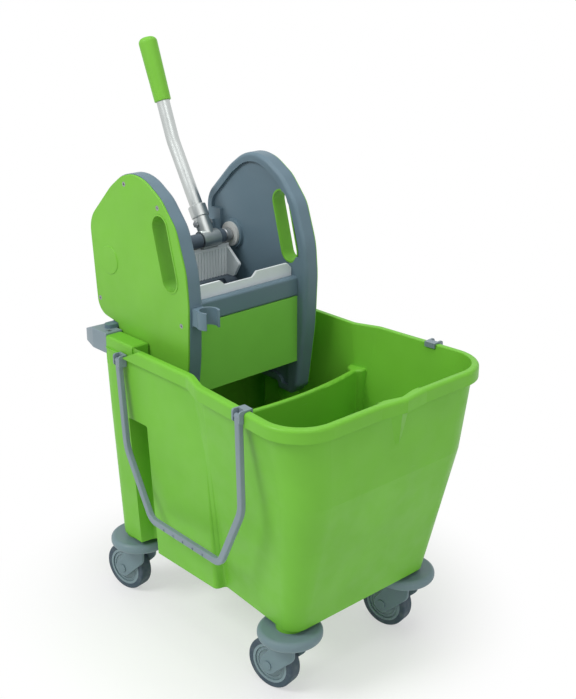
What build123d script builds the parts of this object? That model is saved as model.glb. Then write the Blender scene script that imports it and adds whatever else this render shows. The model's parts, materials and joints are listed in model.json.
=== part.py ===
from build123d import *
from math import cos, radians, sin
import os

os.makedirs("parts", exist_ok=True)

# A two-compartment mop bucket on four castors, with a lift-off lever press
# (the wringer) hung over its rear compartment.  Millimetres, +Z up, +X to the
# front, the floor at z = 0.  Lengths along X are measured from the middle of
# the castors, which lies mid_x ahead of the frame's origin.

# ---------------------------------------------------------------- dimensions
mid_x = 40.3

# castors
castor_x = 183.0
castor_y = 120.5
castor_turn = 10.0
wheel_r = 40.0
wheel_w = 23.0
wheel_trail = 29.0
hub_r = 31.0
hub_recess = 2.5
hub_boss_r = 12.0
tyre_round = 3.0
fork_wall = 4.2
fork_clear = 1.2
fork_hub_r = 19.0
fork_foot_r = 15.0
fork_top_z = 93.2
fork_crown_z = 83.0
axle_r = 4.0
axle_head_r = 7.0
axle_head_t = 1.6
stem_r = 5.5
stem_collar_r = 11.0
stem_collar_t = 3.0
stem_top_z = 152.0
stem_low_z = 79.5
stem_head_r = 8.0
bumper_r = 48.0
bumper_z = 93.5
bumper_t = 17.0
bumper_round = 7.5
bumper_skin = 4.0
running = 0.05

# bucket shell: its plan at the floor, at the knee of the front wall, at the rim
floor_z = 118.0
floor_rear_x = -206.0
floor_front_x = 213.0
floor_belly_y = 146.0
floor_valley_y = 129.0
floor_front_y = 144.0
knee_z = 334.0
knee_rear_x = -212.0
knee_front_x = 265.0
knee_belly_y = 157.0
knee_valley_y = 158.5
knee_front_y = 171.0
rim_z = 463.0
rim_rear_x = -216.0
rim_front_x = 273.0
rim_belly_y = 162.0
rim_valley_y = 178.0
rim_front_y = 195.0
belly_x = 46.0
rim_belly_x = 22.0
rim_valley_x = 62.0
bucket_wall = 4.0
floor_t = 4.5
lip_out = 7.0
lip_h = 20.0
lip_round = 5.0
lip_skin = 2.7
lip_drop = 17.0
post_r = 21.0
post_top_z = 165.0

# side channels beside the belly, whose inner faces carry the wringer's feet
channel_front_x = -98.0
channel_rear_x = -139.0
channel_y = 118.5
channel_top_z = 341.0

# divider between the two compartments
divider_mid_x = 59.0
divider_end_x = 37.0
divider_t = 9.0
divider_z = 395.0
lobe_r = 16.0

# pouring spout on the front wall
spout_half = 44.0
spout_out = 6.0
spout_low_z = 392.0

# rear corner ears and the grey brackets that hold the wringer's pins
ear_front_x = -124.0
ear_rear_x = -192.0
ear_in_y = 130.0
ear_out_y = 160.0
ear_top_z = 463.0
ear_low_z = 418.0
bracket_low_z = 434.0
bracket_top_z = 466.0
bracket_back_x = -229.0
bracket_nose_x = -266.0
bracket_round = 2.0
bracket_boss_r = 5.0
pin_x = -213.0
pin_y = 138.0
pin_r = 5.0
pin_low_z = 446.0
screw_r = 2.0
screw_head_r = 3.6
screw_head_h = 2.2

# bail handles and the clips they hang in
bail_front_x = 164.0
bail_front_y = 195.0
bail_front_z = 456.0
bail_rear_x = -146.0
bail_rear_y = 169.5
bail_rear_z = 438.0
bail_w = 10.5
bail_t = 8.0
bail_depth = 241.0
bail_knee = 140.0
bail_half_bottom = 92.0
bail_bow = 33.0
bail_neck = 14.0
bail_round = 1.6
bail_pin_r = 3.0
bail_pin_fit = 0.08
bail_slot_clear = 0.9
clip_ear = 3.0
clip_low = 9.0
clip_rim = 7.0
clip_bridge = 2.5
clip_back = 3.0
clip_flap = 14.4
clip_flap_h = 8.0
clip_peg_r = 3.0
clip_peg_l = 4.0
dimple_pitch = 26.0
dimple_r = 2.2

# wringer cheeks
cheek_in_y = 101.0
cheek_t = 24.0
cheek_rim = 14.0
cheek_recess = 5.0
cheek_wall = 3.5
cheek_round = 6.5
cover_t = 3.0
cover_inset = 1.0
cover_round = 1.2
round_boss_x = -219.0
round_boss_z = 571.0
round_boss_r = 22.5
round_boss_h = 1.2
slot_bead = 0.8
foot_z = 333.0
seat_z = 345.0
slot_x = -76.3
slot_z = 610.6
slot_l = 111.5
slot_w = 34.0
slot_tilt = 105.0
slot_collar = 2.6
slot_lip = 1.2
slot_frame = 3.5
shaft_boss_r = 24.0
bush_end_y = 116.0
arm_half = 8.0
arm_t = 6.0
fit_gap = 0.2
boss_r = 5.0
cover_screw_spots = [(-171, 697), (-90.5, 676), (-250, 503), (-42.5, 510), (-60, 372), (-186, 430)]

# members between the cheeks
panel_x = -43.5
panel_t = 3.5
panel_low_z = 396.0
bar_low_z = 505.0
bar_h = 32.0
bar_t = 14.0
plate_top_z = 557.0
plate_low_z = 440.0
plate_t = 4.0
plate_dip = 8.0
rib_pitch = 6.0
rib_w = 3.0
rib_h = 1.6
sieve_z = 430.0
sieve_t = 3.5
drain_r = 4.0
drain_pitch = 11.0
rear_panel_low = (-206.0, 432.0)
rear_panel_bend = (-206.0, 468.0)
rear_panel_turn = (-240.0, 500.0)
rear_panel_top = (-248.0, 590.0)
rear_panel_t = 3.0
rear_slot_z = 545.0
rear_slot_half = 20.0
tie_x = -175.0
tie_r = 6.0
member_screw_r = 2.5
member_screw_head_r = 5.0
member_screw_spots = [(-51.5, 520.5), (-49.5, 531.5), (-51, 415), (-51, 485)]
lug_r = 6.0
lug_l = 12.0
member_screw_l = 11.0

# shaft, press and lever
shaft_x = -203.0
shaft_z = 574.0
shaft_r = 8.0
shaft_end_y = 123.0
bush_r = 12.0
bush_flange_r = 20.0
bush_flange_t = 4.0
press_half = 93.0
press_skin = 5.0
press_low = (-188.0, 440.0)
press_turn = (-206.0, 500.0)
press_top_z = 561.0
press_shelf_z = 508.0
cradle_half = 82.0
cradle_t = 3.5
beam_h = 13.0
beam_x = -187.0
press_plate_t = 5.5
gusset_x = -169.0
gusset_z = 531.0
gusset_t = 5.0
beam_boss_r = 11.0
boss_l = 23.0
press_screw_spots = [(-60, 523), (60, 523), (-60, 549), (20, 549)]
press_screw_l = 5.0
set_collar_r = 11.0
set_collar_l = 11.5
circlip_r = 12.5
circlip_t = 1.5
spring_wire_r = 1.25
spring_turns = 3.25
spring_pitch = 3.0
spring_reach = 22.0
lever_y = 53.0
lever_tilt = 59.6
lever_low = 171.0
grip_tilt = 68.9
lever_high = 168.0
lever_bend_r = 110.0
tube_r = 10.8
tube_wall = 1.5
socket_r = 13.0
socket_hub_r = 14.5
socket_half = 17.0
socket_l = 37.0
socket_floor = 17.0
bolt_rise = 27.0
bolt_r = 3.0
bolt_head_r = 5.5
collar_r = 14.8
collar_l = 19.0
grip_l = 104.0
grip_r = 13.6
grip_end_r = 15.4
grip_round = 9.0
grip_cap = 6.0

# clip for the mop's handle, on the left cheek's front edge
mop_clip_in_r = 13.0
mop_clip_t = 3.6
mop_clip_x = -3.5
mop_clip_y = 108.5
mop_clip_low_z = 514.0
mop_clip_h = 26.0
mop_clip_reach = 44.4
mop_pad_x = -23.2
mop_screw_l = 10.0


# ------------------------------------------------------------------- helpers
def level(z):
    """A horizontal plane, centred between the castors."""
    return Plane(origin=(mid_x, 0, z))


def side(y):
    """An upright plane along the bucket: local x, z; extrudes towards -Y."""
    return Plane(origin=(mid_x, y, 0), x_dir=(1, 0, 0), z_dir=(0, -1, 0))


def across(x):
    """An upright plane across the bucket: local y, z; extrudes to the front."""
    return Plane(origin=(mid_x + x, 0, 0), x_dir=(0, 1, 0), z_dir=(1, 0, 0))


def save(piece, name):
    piece.label = name
    export_step(piece, f"parts/{name}.step")


def save_pair(left, name):
    """Write a left-hand piece and its mirror image on the other side."""
    save(left, f"{name}_left")
    with BuildPart() as right:
        mirror(left, about=Plane.XZ)
    save(right.part, f"{name}_right")


# -------------------------------------------------------------- bucket shell
def bucket_plan(station, grow=0.0):
    """The bucket's outline at one station, grown or shrunk by grow."""
    _, rear, front, belly, valley, ahead, step, dale, radii = station
    near = [(rear, -belly), (step, -belly), (dale, -valley), (front, -ahead)]
    far = [(x, -y) for x, y in reversed(near)]
    with BuildSketch() as plan:
        with BuildLine():
            FilletPolyline(*near, *far, radius=radii + radii[::-1], close=True)
        make_face()
        if grow:
            offset(amount=grow)
    return plan.sketch


floor_plan = (floor_z, floor_rear_x, floor_front_x, floor_belly_y, floor_valley_y,
              floor_front_y, belly_x, belly_x + 4, [24, 8, 5, 24])
knee_plan = (knee_z, knee_rear_x, knee_front_x, knee_belly_y, knee_valley_y,
             knee_front_y, belly_x - 2, belly_x + 8, [30, 12, 12, 48])
rim_plan = (rim_z, rim_rear_x, rim_front_x, rim_belly_y, rim_valley_y,
            rim_front_y, rim_belly_x, rim_valley_x, [34, 30, 30, 58])


def bucket_hull(grow):
    """The solid hull of the bucket between the floor and the rim."""
    floor, knee, rim = [level(station[0]) * bucket_plan(station, grow)
                        for station in (floor_plan, knee_plan, rim_plan)]
    with BuildPart() as hull:
        loft([floor, knee], ruled=True)
        loft([knee, rim], ruled=True)
    return hull.part


def side_channel(grow):
    """The upright recess between belly and rear column, on the near side."""
    out_y = rim_belly_y + 40
    corners = [(channel_front_x + grow, -out_y), (channel_front_x + grow, -channel_y + grow),
               (channel_rear_x - grow, -channel_y + grow), (channel_rear_x - 13 - grow, -out_y)]
    low = floor_z if grow else floor_z - 10
    with BuildPart() as block:
        with BuildSketch(level(low)):
            with BuildLine():
                FilletPolyline(*corners, radius=8)
                Line(corners[-1], corners[0])
            make_face()
        extrude(amount=channel_top_z + grow - low)
        fillet(block.faces().sort_by(Axis.Z)[-1].edges().sort_by(Axis.Y)[1:], radius=4)
    return block.part


def divider_band():
    """The bowed divider with a rounded lobe at each end, higher than wide."""
    half = divider_t / 2
    with BuildPart() as band:
        with BuildSketch(level(floor_z + floor_t / 2)) as plan:
            with BuildLine():
                rear = ThreePointArc((divider_end_x - half, -rim_belly_y), (divider_mid_x - half, 0),
                                     (divider_end_x - half, rim_belly_y))
                front = ThreePointArc((divider_end_x + half, -rim_belly_y), (divider_mid_x + half, 0),
                                      (divider_end_x + half, rim_belly_y))
                Line(rear @ 0, front @ 0)
                Line(rear @ 1, front @ 1)
            make_face()
            with Locations((divider_end_x, -knee_belly_y), (divider_end_x, knee_belly_y)):
                Circle(lobe_r)
            fillet([corner for corner in plan.vertices() if abs(corner.Y) < knee_belly_y - 5], radius=6)
        extrude(amount=divider_z - floor_z - floor_t / 2)
        fillet(band.faces().sort_by(Axis.Z)[-1].edges(), radius=divider_t / 2 - 0.6)
        add(bucket_hull(-bucket_wall / 2), mode=Mode.INTERSECT)
    return band.part


def spout(grow):
    """The pouring spout's wedge on the front wall, fading out downwards."""
    base_x = rim_front_x + grow
    with BuildPart() as wedge:
        for z, half, reach in ((rim_z, spout_half, spout_out), (spout_low_z, 5, -1.6)):
            with BuildSketch(level(z)):
                with BuildLine():
                    Polyline((base_x - 5, -half), (base_x + reach, 0), (base_x - 5, half), close=True)
                make_face()
        loft(ruled=True)
    return wedge.part


def spout_lip():
    """The lip's own share of the spout, rounded like the rest of the rim."""
    low_x = rim_front_x + lip_out - lip_round - 1
    with BuildPart() as nose:
        with BuildSketch(level(rim_z - lip_h)):
            with BuildLine():
                Polyline((low_x, -spout_half), (low_x + lip_round + 1, -spout_half),
                         (rim_front_x + lip_out + spout_out, 0), (low_x + lip_round + 1, spout_half),
                         (low_x, spout_half), close=True)
            make_face()
        extrude(amount=lip_h)
        fillet(nose.faces().sort_by(Axis.Z)[-1].edges().sort_by(Axis.X)[-2:], radius=lip_round)
    return nose.part


def bracket_plan():
    """The plan of the near-side rear bracket, a block with a blunt nose."""
    corners = [(ear_rear_x, -ear_out_y), (bracket_back_x, -ear_out_y), (bracket_nose_x, -ear_out_y + 12),
               (bracket_nose_x, -ear_in_y - 8), (bracket_back_x, -ear_in_y), (ear_rear_x, -ear_in_y)]
    with BuildSketch() as plan:
        with BuildLine():
            FilletPolyline(*corners, radius=[0.6, 6, 5, 5, 6, 0.6], close=True)
        make_face()
    return plan.sketch


# the bail handles turn about a line through two pivots, here on the near side
bail_rear = Vector(mid_x + bail_rear_x, -bail_rear_y, bail_rear_z)
bail_front = Vector(mid_x + bail_front_x, -bail_front_y, bail_front_z)
bail_along = (bail_front - bail_rear).normalized()
bail_half = (bail_front - bail_rear).length / 2
clip_half = bail_w / 2 + bail_slot_clear + clip_ear
clip_in_y = bail_t / 2 + bail_slot_clear
clip_out_y = clip_in_y + clip_back


def pivot_plane(point):
    """A level plane at a bail's pivot: local x along the rim, y inwards."""
    return Plane(origin=point, x_dir=(bail_along.X, bail_along.Y, 0), z_dir=(0, 0, 1))


def clip_seat(point):
    """What a bail clip takes out of the rim: its width of lip and a peg hole."""
    pivot = pivot_plane(point)
    with BuildPart() as seat:
        with BuildSketch(pivot.offset(-clip_low - 20)):
            with Locations((0, clip_out_y - 20)):
                Rectangle(2 * clip_half + 1, 40)
        extrude(amount=clip_low + 60)
        with BuildSketch(Plane(origin=point, x_dir=pivot.x_dir, z_dir=pivot.y_dir)):
            Circle(clip_peg_r)
        extrude(amount=clip_out_y + clip_peg_l + 0.2)
    return seat.part


with BuildPart() as rear_lip:
    with BuildSketch(level(rim_z - lip_h - 1)):
        with Locations((rim_rear_x - 20, 0)):
            Rectangle(2 * (bail_rear_x - rim_rear_x + 20), 2 * rim_belly_y + 40)
            Rectangle(2 * (bail_rear_x - rim_rear_x + 20), 2 * ear_in_y, mode=Mode.SUBTRACT)
        add(bucket_plan(rim_plan, 0.3), mode=Mode.SUBTRACT)
    extrude(amount=lip_h + 2)

with BuildPart() as ear:
    with BuildSketch(level(ear_low_z)):
        with Locations(((ear_front_x + ear_rear_x) / 2, -(ear_in_y + ear_out_y) / 2)):
            Rectangle(ear_front_x - ear_rear_x, ear_out_y - ear_in_y)
    extrude(amount=ear_top_z - ear_low_z)
    fillet(ear.faces().sort_by(Axis.Z)[-1].edges().sort_by(Axis.X)[1:], radius=3.5)
    with BuildSketch(level(ear_low_z)):
        with Locations(((ear_front_x + ear_rear_x) / 2, -(ear_in_y + ear_out_y) / 2)):
            Rectangle(ear_front_x - ear_rear_x - 2 * bucket_wall, ear_out_y - ear_in_y - 2 * bucket_wall)
    extrude(amount=ear_top_z - ear_low_z - bucket_wall, mode=Mode.SUBTRACT)

bracket_screw_at = (ear_rear_x - 8, -ear_out_y + 12)
with BuildPart() as bracket_boss:
    with BuildSketch(level(ear_low_z - 12)):
        with Locations(bracket_screw_at):
            Circle(bracket_boss_r)
    extrude(amount=bracket_low_z - ear_low_z + 12)

with BuildPart() as cavity:
    add(bucket_hull(-bucket_wall))
    split(bisect_by=level(floor_z + floor_t), keep=Keep.TOP)

with BuildPart() as bulge:
    add(side_channel(bucket_wall))
    add(bucket_hull(-bucket_wall / 2), mode=Mode.INTERSECT)

rim_dip = [(-100, rim_z + 9), (-100, rim_z), (bail_rear_x + clip_half + 1, bail_rear_z + clip_rim),
           (rim_rear_x - 20, bail_rear_z + clip_rim), (rim_rear_x - 20, rim_z + 9)]

with BuildPart() as bucket_body:
    add(bucket_hull(0))
    with BuildSketch(level(rim_z - lip_h)):
        add(bucket_plan(rim_plan, lip_out))
    extrude(amount=lip_h)
    add(cavity.part, mode=Mode.SUBTRACT)
    rim_top = bucket_body.faces().sort_by(Axis.Z)[-1]
    fillet(rim_top.outer_wire().edges(), radius=lip_round)
    rim_top = bucket_body.faces().sort_by(Axis.Z)[-1]
    fillet(rim_top.inner_wires()[0].edges(), radius=1.5)
    add([spout(0), spout_lip()])
    add(spout(-bucket_wall), mode=Mode.SUBTRACT)
    # groove under the lip
    with BuildSketch(level(rim_z - lip_h)):
        add(bucket_plan(rim_plan, lip_out - lip_skin))
        add(bucket_plan(rim_plan, 0.3), mode=Mode.SUBTRACT)
        with Locations((rim_front_x, 0)):
            Rectangle(40, 2 * spout_half, mode=Mode.SUBTRACT)
    extrude(amount=lip_drop, mode=Mode.SUBTRACT)
    # side channels, seen from inside as bulges
    add([bulge.part, mirror(bulge.part, about=Plane.XZ, mode=Mode.PRIVATE)])
    channel = side_channel(0)
    add([channel, mirror(channel, about=Plane.XZ, mode=Mode.PRIVATE)], mode=Mode.SUBTRACT)
    add(divider_band())
    # castor posts
    with BuildSketch(level(bumper_z + bumper_t)):
        with GridLocations(2 * castor_x, 2 * castor_y, 2, 2):
            Circle(post_r)
    extrude(amount=post_top_z - bumper_z - bumper_t)
    with BuildSketch(level(bumper_z + bumper_t)):
        with GridLocations(2 * castor_x, 2 * castor_y, 2, 2):
            Circle(stem_r)
    extrude(amount=stem_top_z - bumper_z - bumper_t, mode=Mode.SUBTRACT)
    # the side rims fall towards the rear pivots, where the lip ends
    add(rear_lip.part, mode=Mode.SUBTRACT)
    with BuildSketch(side(ear_out_y + 22), side(-ear_out_y + 2)):
        with BuildLine():
            Polyline(*rim_dip, close=True)
        make_face()
    extrude(amount=24, mode=Mode.SUBTRACT)
    # ears and bosses in the rear corners, and the seats of the brackets
    for piece in (ear.part, bracket_boss.part):
        add([piece, mirror(piece, about=Plane.XZ, mode=Mode.PRIVATE)])
    bracket_seat = extrude(level(bracket_low_z) * bracket_plan(), amount=60, mode=Mode.PRIVATE)
    add([bracket_seat, mirror(bracket_seat, about=Plane.XZ, mode=Mode.PRIVATE)], mode=Mode.SUBTRACT)
    with BuildSketch(level(bracket_low_z)):
        with Locations(bracket_screw_at, (bracket_screw_at[0], -bracket_screw_at[1])):
            Circle(screw_r)
    extrude(amount=-14, mode=Mode.SUBTRACT)
    # seats of the bail clips
    for point in (bail_rear, bail_front):
        seat = clip_seat(point)
        add([seat, mirror(seat, about=Plane.XZ, mode=Mode.PRIVATE)], mode=Mode.SUBTRACT)
save(bucket_body.part, "bucket_body")


# ------------------------------------------- rear brackets, bails and clips
with BuildPart() as wringer_bracket:
    with BuildSketch(level(bracket_low_z)):
        add(bracket_plan())
    extrude(amount=bracket_top_z - bracket_low_z)
    fillet(wringer_bracket.faces().sort_by(Axis.Z)[-1].edges(), radius=bracket_round)
    # the nose falls away above and below
    with BuildSketch(side(-ear_in_y + 5)):
        with BuildLine():
            Polyline((bracket_back_x - 3, bracket_top_z + 9), (bracket_back_x - 3, bracket_top_z),
                     (bracket_nose_x - 2, bracket_top_z - 14), (bracket_nose_x - 2, bracket_top_z + 9),
                     close=True)
            Polyline((bracket_back_x, bracket_low_z - 9), (bracket_back_x, bracket_low_z),
                     (bracket_nose_x - 2, bracket_low_z + 10), (bracket_nose_x - 2, bracket_low_z - 9),
                     close=True)
        make_face()
    extrude(amount=ear_out_y - ear_in_y + 10, mode=Mode.SUBTRACT)
    with BuildSketch(level(pin_low_z - 2)):
        with Locations((pin_x, -pin_y)):
            Circle(pin_r + fit_gap)
    extrude(amount=bracket_top_z - pin_low_z + 2, mode=Mode.SUBTRACT)
    with BuildSketch(level(bracket_low_z)):
        with Locations(bracket_screw_at):
            Circle(screw_r)
    extrude(amount=bracket_top_z - bracket_low_z, mode=Mode.SUBTRACT)
    with BuildSketch(level(bracket_top_z - screw_head_h)):
        with Locations(bracket_screw_at):
            Circle(screw_head_r + fit_gap)
    extrude(amount=screw_head_h, mode=Mode.SUBTRACT)
save_pair(wringer_bracket.part, "wringer_bracket")

with BuildPart() as bracket_screws:
    with BuildSketch(level(bracket_low_z - 12)):
        with Locations(bracket_screw_at, (bracket_screw_at[0], -bracket_screw_at[1])):
            Circle(screw_r)
    extrude(amount=bracket_top_z - bracket_low_z + 12)
    with BuildSketch(level(bracket_top_z - screw_head_h)):
        with Locations(bracket_screw_at, (bracket_screw_at[0], -bracket_screw_at[1])):
            Circle(screw_head_r)
    extrude(amount=screw_head_h)
    with BuildSketch(level(bracket_top_z)):
        for spot in (bracket_screw_at, (bracket_screw_at[0], -bracket_screw_at[1])):
            with Locations(spot):
                Rectangle(4.4, 1)
                Rectangle(1, 4.4)
    extrude(amount=-1.2, mode=Mode.SUBTRACT)
save(bracket_screws.part, "bracket_screws")

bail_middle = (bail_rear + bail_front) * 0.5
bail_plane = Plane(origin=bail_middle, x_dir=bail_along, z_dir=bail_along.cross(Vector(0, 0, 1)))
bail_bend = bail_half - (bail_half - bail_half_bottom) * bail_knee / bail_depth + bail_bow
with BuildPart() as bail:
    with BuildSketch(bail_plane.offset(-bail_t / 2)):
        with BuildLine():
            FilletPolyline((-bail_half, 0), (-bail_half, -bail_neck), (-bail_bend, -bail_knee),
                           (-bail_half_bottom, -bail_depth), (bail_half_bottom, -bail_depth),
                           (bail_bend, -bail_knee), (bail_half, -bail_neck), (bail_half, 0),
                           radius=[30, 50, 22, 22, 50, 30])
        trace(line_width=bail_w)
    extrude(amount=bail_t)
    rounded = bail.edges().filter_by(lambda edge: edge.length > 20 and edge.center().Z < bail_rear_z - 5)
    fillet(rounded, radius=bail_round)
    # row of dimples along the bottom bar's lower edge
    with BuildSketch(bail_plane.offset(bail_t / 2)):
        with Locations((0, -bail_depth - bail_w / 2 + dimple_r + 1)):
            with GridLocations(dimple_pitch, 1, 5, 1):
                Circle(dimple_r)
    extrude(amount=-1, mode=Mode.SUBTRACT)
    # barrel and pin at each end
    for point in (bail_rear, bail_front):
        for radius, half in ((bail_t / 2, bail_w / 2), (bail_pin_r, clip_half)):
            with BuildSketch(Plane(origin=point - bail_along * half, z_dir=bail_along)):
                Circle(radius)
            extrude(amount=2 * half)
save_pair(bail.part, "bail")

with BuildPart() as near_clips:
    for point, front in ((bail_rear, False), (bail_front, True)):
        pivot = pivot_plane(point)
        end = Plane(origin=pivot.from_local_coords((-clip_half, 0, 0)), x_dir=pivot.y_dir, z_dir=pivot.x_dir)
        slot = Plane(origin=pivot.from_local_coords((-clip_half + clip_ear, 0, 0)), x_dir=pivot.y_dir,
                     z_dir=pivot.x_dir)
        bridge_y = clip_flap if front else bail_rear_y - ear_out_y - 0.8
        with BuildPart() as clip:
            with BuildSketch(end):
                with BuildLine():
                    FilletPolyline((-clip_in_y, -clip_low), (clip_out_y, -clip_low),
                                   (clip_out_y, clip_rim + clip_bridge),
                                   (-clip_in_y, clip_rim + clip_bridge),
                                   radius=[4, 0.5, 0.5, 4], close=True)
                make_face()
                with Locations(((clip_in_y + bridge_y) / 2, clip_rim + clip_bridge / 2)):
                    Rectangle(bridge_y - clip_in_y, clip_bridge)
                if front:
                    with Locations((clip_flap + clip_bridge / 2, clip_rim + clip_bridge - clip_flap_h / 2)):
                        Rectangle(clip_bridge, clip_flap_h)
            extrude(amount=2 * clip_half)
            with BuildSketch(slot):
                with Locations((clip_in_y - 20, 0)):
                    Rectangle(40, 60)
            extrude(amount=2 * (clip_half - clip_ear), mode=Mode.SUBTRACT)
            with BuildSketch(Plane(origin=point - bail_along * clip_half * 1.2, z_dir=bail_along)):
                Circle(bail_pin_r + bail_pin_fit)
            extrude(amount=2.4 * clip_half, mode=Mode.SUBTRACT)
            with BuildSketch(Plane(origin=pivot.from_local_coords((0, clip_out_y, 0)), x_dir=pivot.x_dir,
                                   z_dir=pivot.y_dir)):
                Circle(clip_peg_r)
            extrude(amount=clip_peg_l)
        add(clip.part)
with BuildPart() as bail_clips:
    add([near_clips.part, mirror(near_clips.part, about=Plane.XZ, mode=Mode.PRIVATE)])
save(bail_clips.part, "bail_clips")


# ------------------------------------------------------------------- castors
def build_castor(name, x, y):
    """One swivel castor, its wheel trailing behind the stem."""
    turn = radians(castor_turn)
    base = Plane(origin=(mid_x + x, y, 0), x_dir=(cos(turn), sin(turn), 0), z_dir=(0, 0, 1))
    cheek_in = wheel_w / 2 + fork_clear
    cheek_out = cheek_in + fork_wall

    def flank(out):
        """An upright plane beside the wheel: extrudes to the castor's right."""
        return Plane(origin=base.from_local_coords((0, out, 0)), x_dir=base.x_dir, z_dir=-base.y_dir)

    with BuildPart() as bumper:
        with BuildSketch(base.offset(bumper_z)):
            Circle(bumper_r)
        extrude(amount=bumper_t)
        fillet(bumper.edges(), radius=bumper_round)
        with BuildSketch(base.offset(bumper_z)):
            Circle(bumper_r - bumper_round)
            Circle(post_r, mode=Mode.SUBTRACT)
        extrude(amount=bumper_t - bumper_skin, mode=Mode.SUBTRACT)
        with BuildSketch(base.offset(bumper_z)):
            Circle(stem_r)
        extrude(amount=bumper_t, mode=Mode.SUBTRACT)
        with BuildSketch(base.offset(bumper_z)):
            Circle(stem_collar_r)
        extrude(amount=fork_top_z + running + stem_collar_t - bumper_z, mode=Mode.SUBTRACT)
    save(bumper.part, f"{name}_bumper")

    with BuildPart() as stem:
        for low, high, radius in ((stem_low_z, stem_top_z, stem_r),
                                  (fork_top_z + running, fork_top_z + running + stem_collar_t,
                                   stem_collar_r),
                                  (stem_low_z, fork_crown_z - running, stem_head_r)):
            with BuildSketch(base.offset(low)):
                Circle(radius)
            extrude(amount=high - low)
        chamfer(stem.faces().sort_by(Axis.Z)[-1].edges(), length=1)
    save(stem.part, f"{name}_stem")

    with BuildPart() as fork:
        with BuildSketch(flank(cheek_out)):
            with Locations((0, fork_top_z - fork_hub_r)):
                Circle(fork_hub_r)
            with Locations((-wheel_trail, wheel_r)):
                Circle(fork_foot_r)
            make_hull()
            with Locations((0, fork_top_z - fork_hub_r / 2)):
                Rectangle(2 * fork_hub_r, fork_hub_r)
        extrude(amount=2 * cheek_out)
        flanks = fork.faces().sort_by(Axis(base.origin, base.y_dir))
        fillet(flanks[0].edges() + flanks[-1].edges(), radius=2)
        with BuildSketch(flank(cheek_in)):
            with Locations((-20, fork_crown_z - 70)):
                Rectangle(180, 140)
        extrude(amount=2 * cheek_in, mode=Mode.SUBTRACT)
        with BuildSketch(flank(cheek_out)):
            with Locations((-wheel_trail, wheel_r)):
                Circle(axle_r)
        extrude(amount=2 * cheek_out, mode=Mode.SUBTRACT)
        with BuildSketch(base.offset(fork_crown_z)):
            Circle(stem_r + running)
        extrude(amount=fork_top_z - fork_crown_z, mode=Mode.SUBTRACT)
    save(fork.part, f"{name}_fork")

    with BuildPart() as axle:
        with BuildSketch(flank(cheek_out)):
            with Locations((-wheel_trail, wheel_r)):
                Circle(axle_r)
        extrude(amount=2 * cheek_out)
        for out in (cheek_out + axle_head_t, -cheek_out):
            with BuildSketch(flank(out)):
                with Locations((-wheel_trail, wheel_r)):
                    Circle(axle_head_r)
            extrude(amount=axle_head_t)
    save(axle.part, f"{name}_axle")

    with BuildPart() as hub:
        with BuildSketch(flank(wheel_w / 2)):
            with Locations((-wheel_trail, wheel_r)):
                Circle(hub_r)
                Circle(axle_r + running, mode=Mode.SUBTRACT)
        extrude(amount=wheel_w)
        for out in (wheel_w / 2, -wheel_w / 2 + hub_recess):
            with BuildSketch(flank(out)):
                with Locations((-wheel_trail, wheel_r)):
                    Circle(hub_r - 4)
                    Circle(hub_boss_r, mode=Mode.SUBTRACT)
            extrude(amount=hub_recess, mode=Mode.SUBTRACT)
    save(hub.part, f"{name}_hub")

    with BuildPart() as tyre:
        with BuildSketch(flank(wheel_w / 2)):
            with Locations((-wheel_trail, wheel_r)):
                Circle(wheel_r)
        extrude(amount=wheel_w)
        fillet(tyre.edges(), radius=tyre_round)
        with BuildSketch(flank(wheel_w / 2)):
            with Locations((-wheel_trail, wheel_r)):
                Circle(hub_r)
        extrude(amount=wheel_w, mode=Mode.SUBTRACT)
    save(tyre.part, f"{name}_tyre")


for end, x in (("front", castor_x), ("rear", -castor_x)):
    for hand, y in (("left", -castor_y), ("right", castor_y)):
        build_castor(f"castor_{end}_{hand}", x, y)


# -------------------------------------------------------- wringer's cheeks
def cheek_outline(grow=0.0):
    """The cheek's outline in x and z, grown or shrunk by grow."""
    corners = [(-60, foot_z, 7.5), (-93, foot_z, 7.5), (-93, seat_z, 3), (-150, seat_z, 12), (-204, 400, 25),
               (-204, 471, 8), (-257, 479, 28), (-269, 628, 45), (-208, 688, 110), (-149, 730, 75),
               (-82, 690, 60), (-49, 652, 55), (-28, 590, 120), (-23.6, 541, 200), (-27.7, 455, 300),
               (-43.5, 350, 12)]
    with BuildSketch() as outline:
        with BuildLine():
            FilletPolyline(*[(x, z) for x, z, _ in corners], radius=[r for _, _, r in corners], close=True)
        make_face()
        if grow:
            offset(amount=grow)
    return outline.sketch


def hand_slot(grow=0.0):
    """The slot through the cheek in x and z, grown by grow."""
    with BuildSketch() as slot:
        with Locations((slot_x, slot_z)):
            SlotOverall(slot_l + 2 * grow, slot_w + 2 * grow, rotation=slot_tilt)
    return slot.sketch


cheek_out_y = cheek_in_y + cheek_t
panel_y = cheek_in_y + cheek_recess
pocket_y = panel_y + cheek_wall
screw_depth = 12.0

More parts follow.
